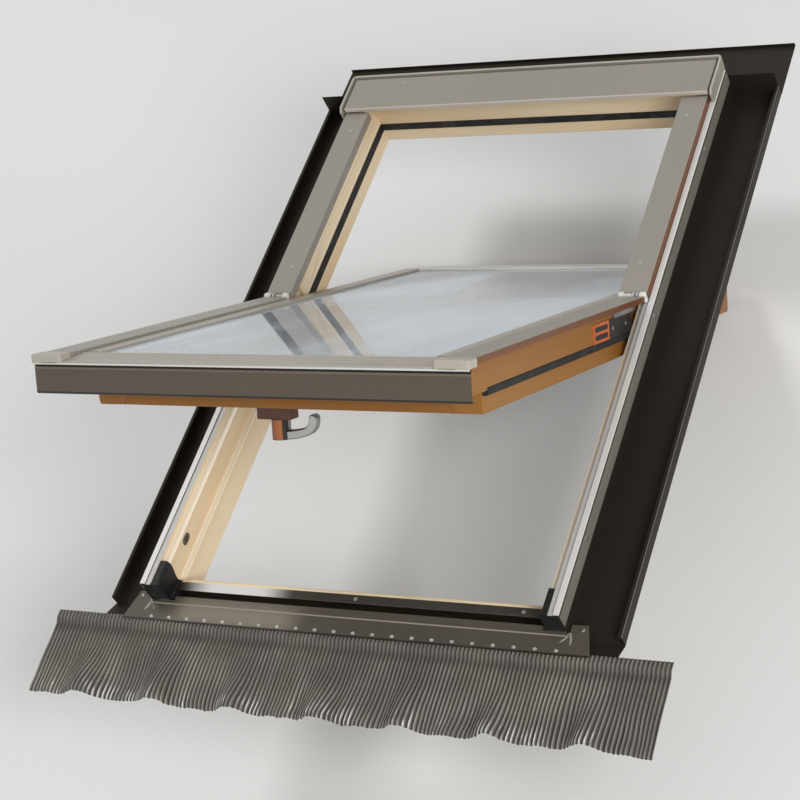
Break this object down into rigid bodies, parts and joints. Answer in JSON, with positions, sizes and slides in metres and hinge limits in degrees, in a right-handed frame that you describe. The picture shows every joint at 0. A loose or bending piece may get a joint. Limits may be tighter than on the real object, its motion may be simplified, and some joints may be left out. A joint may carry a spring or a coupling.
{
  "type": "roof window",
  "caption": "Centre-pivot roof window: pine frame and glazed sash under grey-brown metal covers, a hood, gutters and a pleated apron; the sash stands open.",
  "frame": {"origin": "middle of the four bracket screw holes, on the plane of the battens that the bracket feet stand on", "axes": "+X to the right across the window, +Y up the slope, +Z square to the roof and outwards"},
  "size_m": [1.143, 1.5, 0.8949],
  "materials": {
    "timber": "clear lacquered pine",
    "cladding": "satin grey-brown paint on aluminium",
    "flashing": "dull dark grey-brown paint",
    "apron": "pleated sheet, dull grey-brown",
    "glass": "clear float glass",
    "spacer": "mill",
    "seal": "black rubber",
    "black_plastic": "black moulding",
    "hinge_plastic": "orange-red moulding",
    "handle_plastic": "dark brown moulding",
    "steel": "zinc-plated",
    "lever": "satin silver"
  },
  "bodies": {
    "frame": {"brackets": "steel", "corner_blocks": "black_plastic", "cover_screws": "steel", "frame_head": "timber", "frame_pivot_plates": "steel", "frame_seal": "seal", "frame_sill": "timber", "frame_stile_left": "timber", "frame_stile_right": "timber", "frame_stop_strips": "timber", "friction_washers": "black_plastic", "head_flashing": "flashing", "hood": "cladding", "hood_rim": "cladding", "pleated_apron": "apron", "side_claddings": "cladding", "side_flashings": "flashing", "sill_cladding": "cladding", "sill_flashing": "flashing", "sill_screws": "steel", "upper_covers": "cladding", "wall_screws": "steel"},
    "sash": {"bolt_guide": "steel", "bottom_bead": "cladding", "cover_caps": "cladding", "glass_inner": "glass", "glass_outer": "glass", "glass_spacer": "spacer", "glazing_tape": "seal", "handle_base": "handle_plastic", "hinge_pads": "black_plastic", "hinge_shoes": "hinge_plastic", "pivot_pins": "steel", "sash_bottom_rail": "timber", "sash_covers": "cladding", "sash_fascia": "cladding", "sash_pivot_plates": "steel", "sash_seals": "seal", "sash_stile_left": "timber", "sash_stile_right": "timber", "sash_top_rail": "timber", "side_beads": "cladding", "top_bead": "cladding"},
    "handle": {"handle_lever": "lever"},
    "bolt": {"bolt": "steel"}
  },
  "joints": [
    {"name": "sash_pivot", "type": "hinge", "parent": "frame", "child": "sash", "pos_m": [0, 0.034, 0.09], "axis": [-1, 0, 0], "range_deg": [-42.5, 121.2]},
    {"name": "handle_turn", "type": "hinge", "parent": "sash", "child": "handle", "pos_m": [-0.021, -0.44848, 0.37165], "axis": [0, 0.6756, 0.7373], "range_deg": [0, 90]},
    {"name": "bolt_slide", "type": "slide", "parent": "sash", "child": "bolt", "axis": [-1, 0, 0], "range_m": [0, 0.018]}
  ]
}
